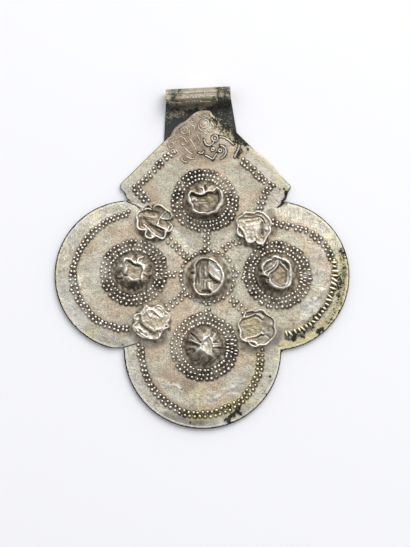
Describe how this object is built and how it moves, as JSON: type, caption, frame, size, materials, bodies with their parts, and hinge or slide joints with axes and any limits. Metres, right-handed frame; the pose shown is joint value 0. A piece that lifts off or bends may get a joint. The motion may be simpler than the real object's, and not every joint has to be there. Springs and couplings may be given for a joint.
{
  "type": "hamsa pendant",
  "caption": "Flat silver pendant with a pointed top and round lobes, crushed domed bosses, dotted rows and a rolled tube bail, lying face up.",
  "frame": {"origin": "on the surface that the back lies on, under the middle of the pendant's box", "axes": "+Y towards the bail, +X to the right seen from the front, +Z out of the face"},
  "size_m": [0.0841, 0.0976, 0.0056],
  "materials": {
    "satin_silver": "worn satin silver, warm, brown patina between the punched dots",
    "rubbed_silver": "thin silver, rubbed bright on its folds, dark in its hollows",
    "tarnished_silver": "blackened silver with rubbed tan and greenish places"
  },
  "bodies": {
    "root": {"back_sheet_with_bail": "tarnished_silver", "face_sheet": "satin_silver", "boss_centre": "rubbed_silver", "boss_top": "rubbed_silver", "boss_left": "rubbed_silver", "boss_right": "rubbed_silver", "boss_bottom": "rubbed_silver", "boss_upper_left": "rubbed_silver", "boss_upper_right": "rubbed_silver", "boss_lower_left": "rubbed_silver", "boss_lower_right": "rubbed_silver"}
  },
  "joints": []
}
